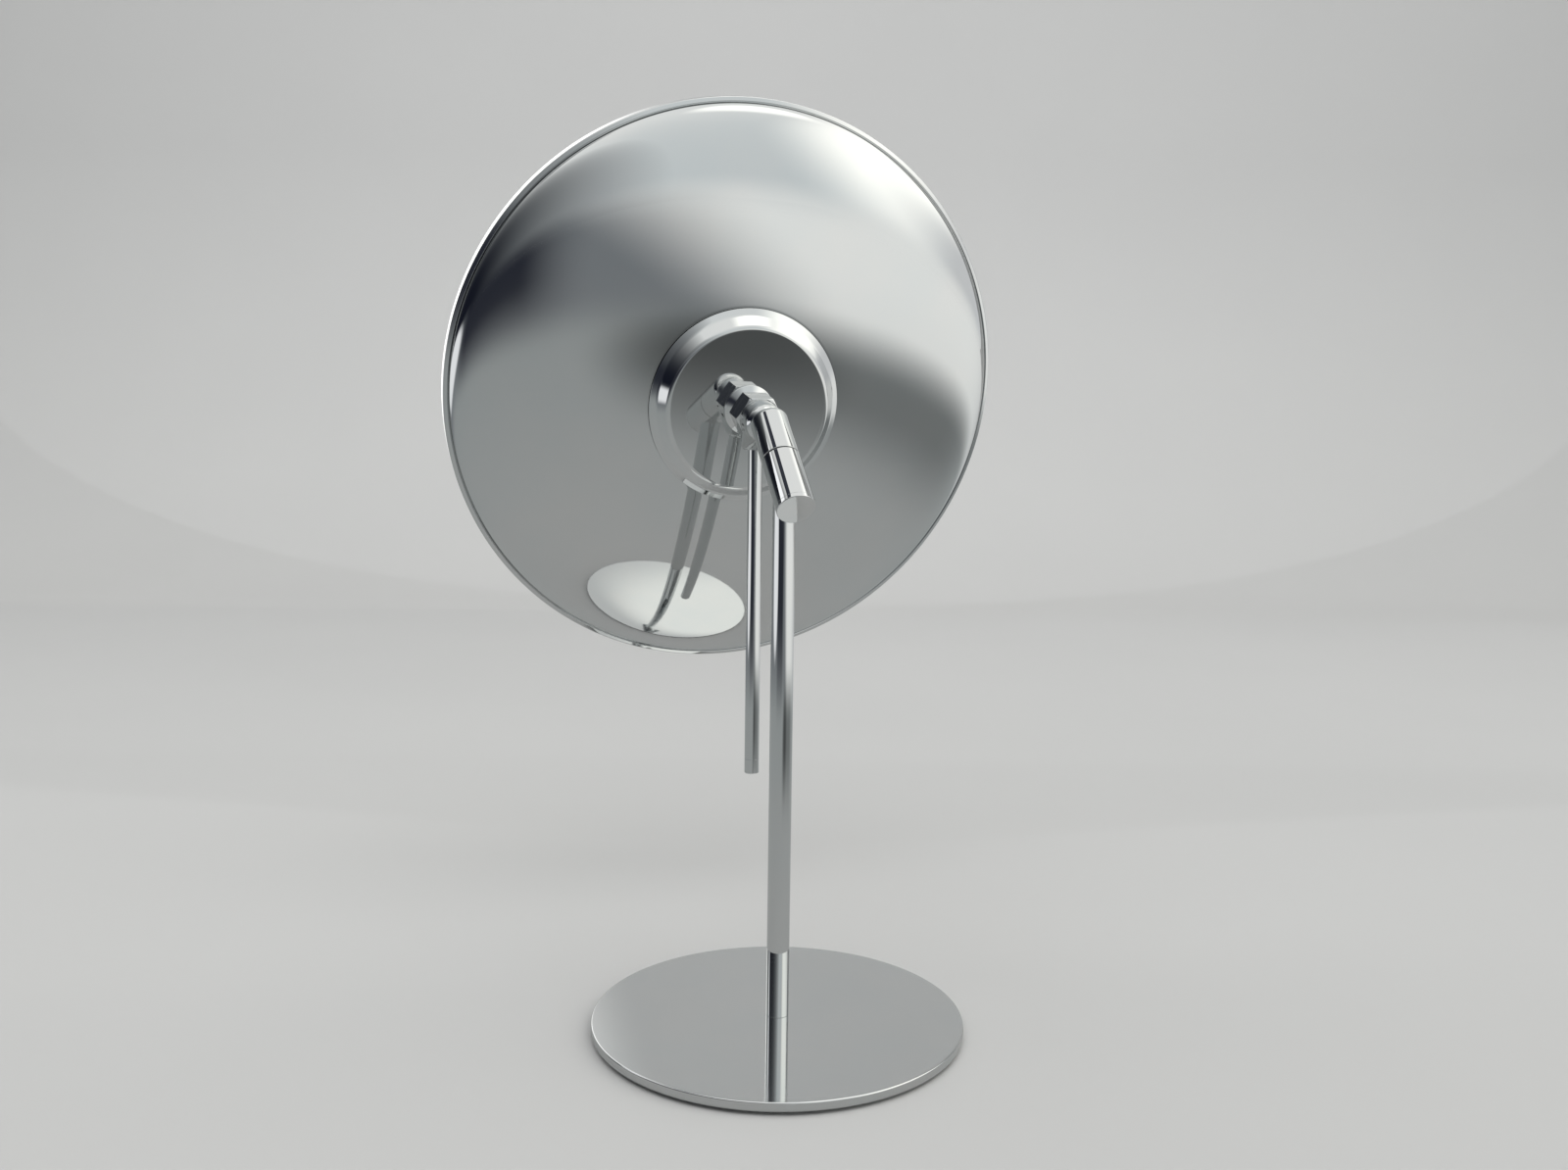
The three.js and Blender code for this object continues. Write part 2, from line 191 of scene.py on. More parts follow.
def silvered_glass():
    m, nodes, links, bsdf = new_material("silvered_glass")
    bsdf.inputs["Metallic"].default_value = 1.0
    smear = noise(nodes, links, 12.0, 6.0, stretch=(1, 1, 4), rough=0.7)
    links.new(
        mix_colour(nodes, links, smear, (0.86, 0.885, 0.875), (0.90, 0.915, 0.91)),
        bsdf.inputs["Base Color"],
    )
    links.new(remap(nodes, links, smear, 0.45, 0.8, 0.0, 0.02), bsdf.inputs["Roughness"])
    bsdf.inputs["Coat Weight"].default_value = 1.0
    bsdf.inputs["Coat Roughness"].default_value = 0.0
    return m


MIRROR = silvered_glass()


# ---- mesh helpers ---------------------------------------------------------------------------
def link(name, mesh, matrix, material, body, slot, *nodes):
    mesh.transform(matrix)
    o = bpy.data.objects.new(name, mesh)
    bpy.context.scene.collection.objects.link(o)
    mesh.materials.clear()
    mesh.materials.append(material)
    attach(o, body)
    if nodes:
        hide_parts(*nodes)
    return o


def eased(corners, steps=5):
    """corners are (r, z) or (r, z, radius): a given radius rounds the corner with an arc"""
    out = []
    for i, c in enumerate(corners):
        p = Vector(c[:2])
        if len(c) < 3 or i in (0, len(corners) - 1):
            out.append(p)
            continue
        a, b = Vector(corners[i - 1][:2]) - p, Vector(corners[i + 1][:2]) - p
        half = a.angle(b) / 2
        reach = min(c[2] / math.tan(half), a.length * 0.49, b.length * 0.49)
        radius = reach * math.tan(half)
        centre = p + (a.normalized() + b.normalized()).normalized() * radius / math.sin(half)
        start, end = p + a.normalized() * reach, p + b.normalized() * reach
        u, v = start - centre, end - centre
        turn = u.angle_signed(v)
        for k in range(steps + 1):
            t = -turn * k / steps
            out.append(centre + Vector((u.x * math.cos(t) - u.y * math.sin(t),
                                        u.x * math.sin(t) + u.y * math.cos(t))))
    return out


def lathe_mesh(name, profile, segments=192, sharp=33.0):
    """surface of revolution about +Z with exact per-corner normals; profile in mm"""
    p = np.array([[q[0], q[1]] for q in profile], float) * MM
    keep = [0] + [i for i in range(1, len(p)) if np.linalg.norm(p[i] - p[i - 1]) > 1e-7]
    p = p[keep]
    closed = not (p[0][0] < 1e-9 and p[-1][0] < 1e-9)
    if closed and np.linalg.norm(p[0] - p[-1]) < 1e-7:
        p = p[:-1]
    nxt = np.roll(p, -1, axis=0)
    area = float(np.sum(p[:, 0] * nxt[:, 1] - nxt[:, 0] * p[:, 1]))
    if area < 0:
        p = p[::-1].copy()
    n = len(p)
    count = n if closed else n - 1
    seg = [(i, (i + 1) % n) for i in range(count)]
    d = np.array([p[j] - p[i] for i, j in seg])
    length = np.linalg.norm(d, axis=1)
    nrm = np.stack([d[:, 1], -d[:, 0]], 1) / length[:, None]
    start, end = nrm.copy(), nrm.copy()
    limit = math.cos(math.radians(sharp))
    for k in range(count):
        j = (k + 1) % count
        if not closed and k == count - 1:
            continue
        if float(nrm[k] @ nrm[j]) > limit:
            s = nrm[k] * length[k] + nrm[j] * length[j]
            s /= np.linalg.norm(s)
            end[k], start[j] = s, s
    for k, (i, j) in enumerate(seg):
        if p[i][0] < 1e-9:
            start[k] = (0.0, math.copysign(1, nrm[k][1]))
        if p[j][0] < 1e-9:
            end[k] = (0.0, math.copysign(1, nrm[k][1]))
    verts, index = [], []
    ang = np.arange(segments) * 2 * math.pi / segments
    cs, sn = np.cos(ang), np.sin(ang)
    for r, z in p:
        if r < 1e-9:
            index.append([len(verts)] * segments)
            verts.append((0.0, 0.0, z))
        else:
            index.append(list(range(len(verts), len(verts) + segments)))
            verts.extend((r * c, r * s, z) for c, s in zip(cs, sn))
    faces, normals = [], []
    for k, (i, j) in enumerate(seg):
        if max(p[i][0], p[j][0]) < 1e-9:
            continue
        for a in range(segments):
            b = (a + 1) % segments
            corner = [(index[i][a], start[k], a), (index[i][b], start[k], b),
                      (index[j][b], end[k], b), (index[j][a], end[k], a)]
            if p[i][0] < 1e-9:
                corner = [corner[0], corner[2], corner[3]]
            elif p[j][0] < 1e-9:
                corner = corner[:3]
            faces.append([c[0] for c in corner])
            normals.extend((float(m[0] * cs[t]), float(m[0] * sn[t]), float(m[1]))
                           for _, m, t in corner)
    mesh = bpy.data.meshes.new(name)
    mesh.from_pydata(verts, [], faces)
    mesh.update(calc_edges=True)
    mesh.polygons.foreach_set("use_smooth", [True] * len(mesh.polygons))
    mesh.normals_split_custom_set(normals)
    return mesh


def turned(name, profile, frame_matrix, material, body, slot, *nodes, segments=192, sharp=33.0):
    return link(name, lathe_mesh(name, profile, segments, sharp), frame_matrix, material, body,
                slot, *nodes)


def scratch(mesh):
    o = bpy.data.objects.new("scratch", mesh)
    bpy.context.scene.collection.objects.link(o)
    return o


def baked(base, tools, modifiers=()):
    """applies boolean tools, (operation, object), and then plain modifiers; returns a new mesh"""
    for operation, tool in tools:
        m = base.modifiers.new("b", "BOOLEAN")
        m.operation, m.object, m.solver = operation, tool, "EXACT"
    for kind, values in modifiers:
        m = base.modifiers.new(kind.lower(), kind)
        for key, v in values.items():
            setattr(m, key, v)
    deps = bpy.context.evaluated_depsgraph_get()
    mesh = bpy.data.meshes.new_from_object(base.evaluated_get(deps))
    for o in [base, *[t for _, t in tools]]:
        bpy.data.objects.remove(o)
    return mesh


def prism_mesh(sides, corner, z0, z1, spin=0.0):
    bm = bmesh.new()
    rings = []
    for z in (z0, z1):
        rings.append([bm.verts.new((corner * math.cos(spin + 2 * math.pi * i / sides) * MM,
                                    corner * math.sin(spin + 2 * math.pi * i / sides) * MM, z * MM))
                      for i in range(sides)])
    bm.faces.new(rings[0][::-1])
    bm.faces.new(rings[1])
    for i in range(sides):
        j = (i + 1) % sides
        bm.faces.new((rings[0][i], rings[0][j], rings[1][j], rings[1][i]))
    mesh = bpy.data.meshes.new("prism")
    bm.to_mesh(mesh)
    bm.free()
    return mesh


# ---- foot and post --------------------------------------------------------------------------
turned("foot_pad", eased([(0, 0), (PAD_R - 1.4, 0, 0.4), (PAD_R, 0.5, 0.4), (PAD_R, PAD_T, 0.2),
                          (0, PAD_T)]), WORLD, RUBBER, "stand", "rubber", "base_pad")
turned("foot_disc", eased([
    (3.4, FOOT_TOP - 1.7), (6.6, FOOT_TOP - 1.7), (6.6, PAD_T + 0.3),
    (FOOT_R - 0.4, PAD_T + 0.3, 0.3), (FOOT_R, PAD_T + 0.9, 0.3), (FOOT_R, FOOT_TOP, 0.55),
    (3.4, FOOT_TOP),
], 6), WORLD, CHROME_FOOT, "stand", "chrome", "base_disc", segments=320)
turned("post_tube", eased([
    (2.8, FOOT_TOP + 0.02), (POST_R, FOOT_TOP + 0.02, 0.12), (POST_R, AXIS_Z - 1), (0, AXIS_Z - 1),
    (0, 18.5), (2.8, 18.5), (2.8, FOOT_TOP + 0.02)]), WORLD, CHROME, "stand", "chrome", "post",
    segments=128)

# ---- swivel ---------------------------------------------------------------------------------
turned("outer_barrel", eased([
    (5.4, HEAD_END + 1.87), (HEAD_R, HEAD_END + 1.87, 0.05), (HEAD_R, HEAD_SPLIT + 0.35, 0.22),
    (2.7, HEAD_SPLIT + 0.35), (2.7, -7.0), (5.4, -7.0), (5.4, HEAD_END + 1.87)]),
    INCLINED, CHROME, "stand", "chrome", "post_head")
turned("barrel_cap", eased([
    (0, HEAD_END), (HEAD_R, HEAD_END, 0.32), (HEAD_R, HEAD_END + 1.84, 0.05),
    (5.1, HEAD_END + 1.84), (5.1, HEAD_END + 3.6), (0, HEAD_END + 3.6)]),
    INCLINED, CHROME, "stand", "chrome", "head_cap")
turned("split_washer", eased([
    (2.9, HEAD_SPLIT + 0.38), (7.1, HEAD_SPLIT + 0.38), (7.1, HEAD_SPLIT + 0.82),
    (2.9, HEAD_SPLIT + 0.82), (2.9, HEAD_SPLIT + 0.38)]),
    INCLINED, BLACK, "swivel", "black_plastic", "friction_washer")
turned("inner_barrel", eased([
    (0, HEAD_SPLIT + 0.85), (HEAD_R, HEAD_SPLIT + 0.85, 0.22), (HEAD_R, HEAD_TOP, 3.0),
    (0, HEAD_TOP)], 14), INCLINED, CHROME, "swivel", "chrome")


EYE_EASE = 2.4  # rounding of the eye's lower edge
WEB_R, WEB_Y, WEB_Z = 7.7, -26.4, 235.4  # ball at the hub that the eye's hull runs up to
VOXEL = 0.28  # of the remesh that eases the hub and the eye into one
CUT_END = 60  # far end of the cutting prisms, clear of the hub
BLOCK, BLOCK_SHIFT = 40, 28.3  # square cutter's corner radius; shift that puts a side on the axis
GRIP, GRIP_EASE = (2.0, 0.75, 3.0), 0.25  # block that cuts one slot in the hub's side
GRIP_AT, GRIP_STEP, GRIP_LEAN = (8.0, -1.2, 11.4), 2.1, 0.3  # first slot, spacing, radians


def hub_mesh():
    """the turned hub and the eye's hull as one eased casting, cut for the nut and the rod"""
    top = KNUCKLE[0] - 0.25
    hub = lathe_mesh("tool", eased([(0, 3.2), (HUB_R, 6.4, 4.2), (HUB_R, top, 0.5), (0, top)], 10),
                     160)
    hub.transform(AXIAL)
    bm = bmesh.new()
    pts = []
    for i in range(72):
        a = i / 72 * 2 * math.pi
        c, s = math.cos(a), math.sin(a)
        for k in range(9):
            e = math.radians(-90 + 90 * k / 8)
            r = EYE_R - EYE_EASE + EYE_EASE * math.cos(e)
            pts.append((r * c, ROD_Y + r * s, EYE_FOOT + EYE_EASE + EYE_EASE * math.sin(e)))
        pts.append((EYE_R * c, ROD_Y + EYE_R * s, EYE_FOOT + 8))
        for k in range(14):
            e = math.radians(-75 + 100 * k / 13)
            pts.append((WEB_R * math.cos(e) * c, WEB_Y + WEB_R * math.cos(e) * s,
                        WEB_Z + WEB_R * math.sin(e)))
    for q in pts:
        bm.verts.new([v * MM for v in q])
    bmesh.ops.convex_hull(bm, input=bm.verts)
    loose = [v for v in bm.verts if not v.link_faces]
    bmesh.ops.delete(bm, geom=loose, context="VERTS")
    eye = bpy.data.meshes.new("eye")
    bm.to_mesh(eye)
    bm.free()
    body = scratch(hub)
    mesh = baked(body, [("UNION", scratch(eye))], [
        ("REMESH", dict(mode="VOXEL", voxel_size=VOXEL * MM)),
        ("SMOOTH", dict(factor=0.5, iterations=8)),
    ])
    corner = NUT_AF / math.sqrt(3) + 0.25
    tools = []
    room = prism_mesh(6, corner, top, CUT_END)
    room.transform(AXIAL)
    tools.append(("DIFFERENCE", scratch(room)))
    above = prism_mesh(4, BLOCK, top, CUT_END, math.radians(45))
    above.transform(AXIAL @ Matrix.Translation((0, BLOCK_SHIFT * MM, 0)))
    tools.append(("DIFFERENCE", scratch(above)))
    bore_r = ROD_R + 0.75
    bore = lathe_mesh("tool", eased([(0, 200), (bore_r, 200), (bore_r, 260), (0, 260)]), 96)
    bore.transform(UPRIGHT)
    tools.append(("DIFFERENCE", scratch(bore)))
    for side in (-1, 1):
        for i in range(3):
            bm = bmesh.new()
            bmesh.ops.create_cube(bm, size=1.0)
            bmesh.ops.scale(bm, vec=[v * MM for v in GRIP], verts=bm.verts)
            bmesh.ops.bevel(bm, geom=bm.edges[:], offset=GRIP_EASE * MM, segments=3,
                            affect="EDGES")
            slot = bpy.data.meshes.new("slot")
            bm.to_mesh(slot)
            bm.free()
            slot.transform(AXIAL @ Matrix.Translation(
                (side * GRIP_AT[0] * MM, (GRIP_AT[1] - GRIP_STEP * i) * MM, GRIP_AT[2] * MM))
                @ Matrix.Rotation(side * GRIP_LEAN, 4, "Y"))
            tools.append(("DIFFERENCE", scratch(slot)))
    mesh = baked(scratch(mesh), tools, [
        ("BEVEL", dict(width=0.12 * MM, segments=2, limit_method="ANGLE", angle_limit=0.7)),
    ])
    mesh.polygons.foreach_set("use_smooth", [True] * len(mesh.polygons))
    return mesh


link("hub_and_eye", hub_mesh(), WORLD, CHROME_NUT, "swivel", "chrome", "swivel_head")
turned("bush", eased([
    (ROD_R + 0.04, EYE_FOOT + 0.05), (ROD_R + 0.7, EYE_FOOT + 0.05, 0.1),
    (ROD_R + 0.7, EYE_FOOT + 3.4), (ROD_R + 0.04, EYE_FOOT + 3.4),
    (ROD_R + 0.04, EYE_FOOT + 0.05)]), UPRIGHT, NYLON, "swivel", "nylon", "eye_bush")

# ---- sliding rod ----------------------------------------------------------------------------
turned("slide_rod", eased([
    (0, ROD_FOOT + 6.03), (ROD_R, ROD_FOOT + 6.03, 0.03), (ROD_R, ROD_TOP + 0.2),
    (2.0, ROD_TOP + 0.2), (2.0, ROD_TOP + 3.6), (0, ROD_TOP + 3.6)]),
    UPRIGHT, CHROME, "slider", "chrome", "rod", segments=96)
turned("rod_end", eased([
    (0, ROD_FOOT), (ROD_R, ROD_FOOT, 0.5), (ROD_R, ROD_FOOT + 6.0, 0.03), (0, ROD_FOOT + 6.0)]),
    UPRIGHT, CHROME, "slider", "chrome", "rod_button", segments=96)


def nut_mesh(z0, z1, chamfer0, chamfer1):
    corner = NUT_AF / math.sqrt(3)
    bar = scratch(prism_mesh(6, corner, z0, z1))
    face, big = NUT_AF / 2 - 0.1, corner + 0.5
    drop = (big - face) * 0.5
    profile = [(0, z0 - 1)] if not chamfer0 else [(0, z0)]
    profile += [(face, z0), (big, z0 + drop)] if chamfer0 else [(big, z0 - 1)]
    profile += [(big, z1 - drop), (face, z1), (0, z1)] if chamfer1 else [(big, z1 + 1), (0, z1 + 1)]
    cone = scratch(lathe_mesh("tool", profile, 144))
    mesh = baked(bar, [("INTERSECT", cone)], [
        ("BEVEL", dict(width=0.16 * MM, segments=3, limit_method="ANGLE", angle_limit=0.5,
                       harden_normals=True)),
    ])
    mesh.polygons.foreach_set("use_smooth", [True] * len(mesh.polygons))
    return mesh


def nut(name, span, chamfer0, chamfer1, node):
    o = link(name, nut_mesh(*span, chamfer0, chamfer1), AXIAL, CHROME_NUT, "slider", "chrome", node)
    m = o.modifiers.new("weighted", "WEIGHTED_NORMAL")
    m.weight, m.keep_sharp = 100, True


nut("knuckle_nut", KNUCKLE, True, False, "knuckle")
nut("lock_nut_fine", (KNUCKLE[1] + 0.12, LOCK_NUT[1]), False, True, "lock_nut")

# ---- ball joint and mirror head -------------------------------------------------------------
turned("ring_fine", eased([
    (3.5, BALL_AT - 3.6), (4.3, RING[0], 0.3), (6.4, RING[0] + 0.45, 0.5),
    (10.4, RING[0] + 2.2, 0.3),
    (10.4, RING[1] + 0.27, 0.05), (8.7, RING[1] + 0.27), (8.7, BALL_AT), (5.05, BALL_AT),
    (4.4, BALL_AT - 2.4), (3.5, BALL_AT - 3.6)], 6), AXIAL, CHROME, "mirror_head", "chrome",
    "socket_ring")
turned("boss_fine", eased([
    (9.0, BOSS_FACE), (BOSS_FLAT_R + 0.9, BOSS_FACE, 3.0), (BOSS_R - 2.6, BOSS_BASE - 1.75, 5.0),
    (BOSS_R, BOSS_BASE - 0.25, 0.1), (BOSS_R, BOSS_BASE), (12.6, BOSS_BASE), (12.6, BALL_AT + 11.9),
    (9.0, BALL_AT + 11.9), (9.0, BOSS_FACE)], 14), AXIAL, CHROME_SHELL, "mirror_head", "chrome",
    "boss_plate", segments=256)


def dome(r, shrink=0.0):
    """station of the shell at radius r, on an ellipse whose half axes shrink makes shorter"""
    a, b = DOME_R - shrink, DOME_EDGE - BOSS_BASE + 0.5 - shrink
    return DOME_EDGE - b * math.sqrt(max(0.0, 1 - (r / a) ** 2))


def dome_profile():
    first = math.radians(19.6)  # just inside the boss's edge: flat seat within, curve outside
    t = [first + (math.pi / 2 - first) * i / 60 for i in range(61)]
    outer = [(DOME_R * math.sin(q), dome(DOME_R * math.sin(q))) for q in t]
    inner = [((DOME_R - DOME_T) * math.sin(q), dome((DOME_R - DOME_T) * math.sin(q), DOME_T))
             for q in reversed(t)]
    seat = outer[0][1]
    return [(13.0, seat), (30.0, seat), *outer, (DOME_R, DOME_EDGE + 1.0),
            (DOME_R - DOME_T, DOME_EDGE + 1.0), *inner, (13.0, seat + DOME_T), (13.0, seat)]


turned("shell_fine", dome_profile(), AXIAL, CHROME_SHELL, "mirror_head", "chrome", "back_shell",
       segments=360)
GLASS_FACE = RIM_END - 0.9
GLASS_BACK = GLASS_FACE - 3.0
turned("rim_fine", eased([
    (GLASS_R + 0.3, GLASS_BACK - 0.2), (114.2, GLASS_BACK - 0.2), (114.2, DOME_EDGE + 1.3),
    (DOME_R + 0.05, DOME_EDGE + 1.3), (DOME_R + 0.05, DOME_EDGE - 0.5),
    (DOME_R + 0.6, DOME_EDGE - 0.9, 0.2),
    (RIM_R, DOME_EDGE - 0.4, 0.5), (RIM_R, RIM_END, 0.9), (GLASS_R - 1.4, RIM_END, 0.35),
    (GLASS_R - 1.4, RIM_END - 0.85), (GLASS_R + 0.3, RIM_END - 0.85),
    (GLASS_R + 0.3, GLASS_BACK - 0.2)], 6), AXIAL, CHROME, "mirror_head", "chrome", "rim_ring",
    segments=360)
turned("glass_fine", eased([
    (0, GLASS_BACK), (GLASS_R, GLASS_BACK, 0.1), (GLASS_R, GLASS_FACE - 0.5, 0.2),
    (GLASS_R - 0.6, GLASS_FACE, 0.2), (0, GLASS_FACE)], 4), AXIAL, MIRROR, "mirror_head", "mirror",
    "mirror_glass", segments=256)

# ---- CAD nodes that stay --------------------------------------------------------------------
FINISH = {
    "steel": STEEL, "brass": BRASS, "nylon": NYLON, "black_plastic": BLACK, "rubber": RUBBER,
    "foam": FOAM, "chrome": CHROME, "mirror": MIRROR,
}
slot_of = {s["node"]: s["material_slot"] for s in frame["record"]["subparts"]}
for node, o in frame["nodes"].items():
    for s in o.material_slots:
        s.material = FINISH[slot_of[node]]

# ---- studio ---------------------------------------------------------------------------------
CAM_TURN = 19.3  # degrees between the mechanism's plane and the camera
CAM_BACK, CAM_UP = 502.4, 221.9
LENS, SENSOR = 30.4, 36.0
ct, st = math.cos(math.radians(CAM_TURN)), math.sin(math.radians(CAM_TURN))


def direction(x, y, z):
    """a vector given to the camera's right, away from it and up, as a vector in the frame"""
    return Vector((-x * ct - y * st, x * st - y * ct, z))


def studio(x, y, z):
    return direction(x, y, z) * MM


cam_data = bpy.data.cameras.new("camera")
cam_data.lens, cam_data.sensor_width = LENS, SENSOR
cam_data.clip_start, cam_data.clip_end = 0.01, 50
cam = bpy.data.objects.new("camera", cam_data)
bpy.context.scene.collection.objects.link(cam)
cam.location = studio(0, -CAM_BACK, CAM_UP)
YAW, PITCH, ROLL = math.radians(0.04), math.radians(5.4), math.radians(0.8)
look = direction(math.sin(YAW) * math.cos(PITCH), math.cos(YAW) * math.cos(PITCH),
                 -math.sin(PITCH))
cam.rotation_mode = "QUATERNION"
level = look.to_track_quat("-Z", "Y")
cam.rotation_quaternion = level @ Matrix.Rotation(ROLL, 4, "Z").to_quaternion()
bpy.context.scene.camera = cam


def sheet(name, rows, half_width, material):
    """a smooth ruled sheet through (depth, height) rows, mm, in the studio's frame"""
    bm = bmesh.new()
    grid = [[bm.verts.new(studio(x, y, z)) for x in (-half_width, half_width)] for y, z in rows]
    for a, b in zip(grid, grid[1:]):
        bm.faces.new((a[0], a[1], b[1], b[0])).smooth = True
    mesh = bpy.data.meshes.new(name)
    bm.to_mesh(mesh)
    bm.free()
    o = bpy.data.objects.new(name, mesh)
    bpy.context.scene.collection.objects.link(o)
    mesh.materials.append(material)
    return o


def paper():
    m, nodes, links, bsdf = new_material("paper")
    slow = noise(nodes, links, 3.0, 2.0)
    links.new(mix_colour(nodes, links, slow, (0.508, 0.509, 0.509), (0.528, 0.529, 0.528)),
              bsdf.inputs["Base Color"])
    bsdf.inputs["Roughness"].default_value = 0.7
    bsdf.inputs["Specular IOR Level"].default_value = 0.15
    return m


SWEEP_AT, SWEEP_R = 1500, 900
STAGE, STAGE_UP = 5000, 4000
UNDER_PAD = -0.02
sweep = [(SWEEP_AT + SWEEP_R * math.sin(a), SWEEP_R - SWEEP_R * math.cos(a) + UNDER_PAD)
         for a in (math.radians(d) for d in range(0, 91, 4))]
sheet("floor", [(-STAGE, UNDER_PAD), *sweep, (SWEEP_AT + SWEEP_R, STAGE_UP)], STAGE, paper())


class Graph:
    """short names for the maths nodes of one node tree"""

    def __init__(self, tree):
        self.nodes, self.links = tree.nodes, tree.links

    def put(self, value, socket):
        if isinstance(value, (int, float)):
            socket.default_value = value
        elif isinstance(value, (tuple, list)):
            socket.default_value = (*value, 1) if len(socket.default_value) == 4 else value
        else:
            self.links.new(value, socket)

    def op(self, kind, a, b=0.0):
        n = self.nodes.new("ShaderNodeMath")
        n.operation = kind
        self.put(a, n.inputs[0])
        self.put(b, n.inputs[1])
        return n.outputs[0]

    def dot(self, vector, axis):
        n = self.nodes.new("ShaderNodeVectorMath")
        n.operation = "DOT_PRODUCT"
        self.links.new(vector, n.inputs[0])
        n.inputs[1].default_value = axis
        return n.outputs["Value"]

    def ramp(self, v, lo, hi, smooth=True):
        r = self.nodes.new("ShaderNodeMapRange")
        r.interpolation_type = "SMOOTHSTEP" if smooth else "LINEAR"
        self.put(v, r.inputs["Value"])
        r.inputs["From Min"].default_value, r.inputs["From Max"].default_value = lo, hi
        return r.outputs["Result"]

    def oval(self, u, v, centre, radii):
        """distance from an oval's centre, 1 on its edge"""
        a = self.op("DIVIDE", self.op("SUBTRACT", u, centre[0]), radii[0])
        b = self.op("DIVIDE", self.op("SUBTRACT", v, centre[1]), radii[1])
        return self.op("SQRT", self.op("ADD", self.op("MULTIPLY", a, a), self.op("MULTIPLY", b, b)))

    def rest(self, value):
        return self.op("SUBTRACT", 1.0, value)

    def patch(self, u, v, centre, radii, lo, hi):
        """1 inside an oval, 0 outside, soft between lo and hi of its radii"""
        return self.rest(self.ramp(self.oval(u, v, centre, radii), lo, hi))

    def mix(self, fac, a, b):
        n = self.nodes.new("ShaderNodeMix")
        n.data_type = "RGBA"
        self.put(fac, n.inputs["Factor"])
        self.put(a, n.inputs["A"])
        self.put(b, n.inputs["B"])
        return n.outputs["Result"]


# The sky is fitted to the tones that the photographed chrome mirrors, so it isn't a plain
# studio. It is laid out from the photograph's camera but fixed in the frame.
# Each patch: centre and radii as azimuth from that camera, positive to its right, and elevation,
# degrees; start and end of its soft edge; colour.
PATCHES = [
    ((108, 18), (68, 44), 0.72, 1.06, (1.70, 1.69, 1.60)),  # broad bright area on the right
    ((52, 61), (38, 18), 0.50, 1.05, (1.85, 1.83, 1.74)),  # high bright area
    ((124, -6), (72, 33), 0.62, 1.10, (0.80, 0.81, 0.82)),  # greyer area low on the right
]
SHADE_AT, SHADE_SIZE = (-68, -4), (81, 50)  # dark area on the left
SHADE = (0.011, 0.013, 0.022)
STRIPES = [
    ((-100, 31), (9, 13), 0.80, 1.10, (1.5, 1.5, 1.52)),  # bright stripe on the barrel
    ((-77, 59), (9, 13), 0.80, 1.05, (0.05, 0.055, 0.07)),  # dark stripe on the barrel
]
STRIP = ((-78, -6), (30, 9), 0.70, 1.05)  # low bright band across the horizon
STRIP_COLOUR = (1.15, 1.15, 1.17)


def studio_light(g, az, el):
    """what the chrome sees by azimuth from the photograph's camera and elevation, degrees"""
    upper = g.mix(g.ramp(el, 0, 70), (0.81, 0.85, 0.86), (1.10, 1.10, 1.08))
    for *where, colour in PATCHES:
        upper = g.mix(g.patch(az, el, *where), upper, colour)
    lift = g.op("POWER", g.ramp(g.oval(az, el, SHADE_AT, SHADE_SIZE), 0.20, 1.15, False), 3.0)
    upper = g.mix(lift, SHADE, upper)
    for *where, colour in STRIPES:
        upper = g.mix(g.patch(az, el, *where), upper, colour)
    # below the horizon: lit beyond a slanting edge to the right, unlit ahead, grey close by
    edge = g.op("ADD", az, g.op("MULTIPLY", el, 1.45))
    lower = g.mix(g.ramp(edge, 2, 34), (0.235, 0.25, 0.265), (1.12, 1.12, 1.09))
    lower = g.mix(g.ramp(az, 84, 160), lower, (0.60, 0.61, 0.62))
    lower = g.mix(g.ramp(el, -22, -14), (0.375, 0.40, 0.40), lower)
    core = g.op("MULTIPLY", g.ramp(az, -62, -40), g.rest(g.ramp(az, -6, 14)))
    core = g.op("MULTIPLY", core, g.ramp(el, -24, -9))
    lower = g.mix(core, lower, (0.03, 0.033, 0.045))
    strip = g.patch(az, el, *STRIP)
    lower, upper = (g.mix(strip, part, STRIP_COLOUR) for part in (lower, upper))
    return g.mix(g.ramp(el, -5, 3), lower, upper)


BEYOND = (0.54, 0.54, 0.535)  # even grey past the edge of the backdrop


def world():
    """the sky that the chrome mirrors; a view past the backdrop shows an even grey instead"""
    w = bpy.data.worlds.new("studio")
    bpy.context.scene.world = w
    w.use_nodes = True
    g = Graph(w.node_tree)
    way = g.nodes.new("ShaderNodeTexCoord").outputs["Generated"]
    turn = g.op("ARCTAN2", g.dot(way, direction(1, 0, 0)), g.dot(way, direction(0, -1, 0)))
    az = g.op("MULTIPLY", turn, math.degrees(1))
    el = g.op("MULTIPLY", g.op("ARCSINE", g.dot(way, (0, 0, 1))), math.degrees(1))
    seen = g.nodes.new("ShaderNodeLightPath").outputs["Is Camera Ray"]
    light = g.mix(seen, studio_light(g, az, el), BEYOND)
    g.links.new(light, g.nodes["Background"].inputs["Color"])


world()


def bare_material(name):
    """a material with nothing on its surface yet, and its graph"""
    m = bpy.data.materials.new(name)
    m.use_nodes = True
    g = Graph(m.node_tree)
    g.nodes.remove(g.nodes["Principled BSDF"])
    return m, g


def reflections_only(o):
    o.visible_camera = o.visible_diffuse = o.visible_shadow = o.visible_transmission = False


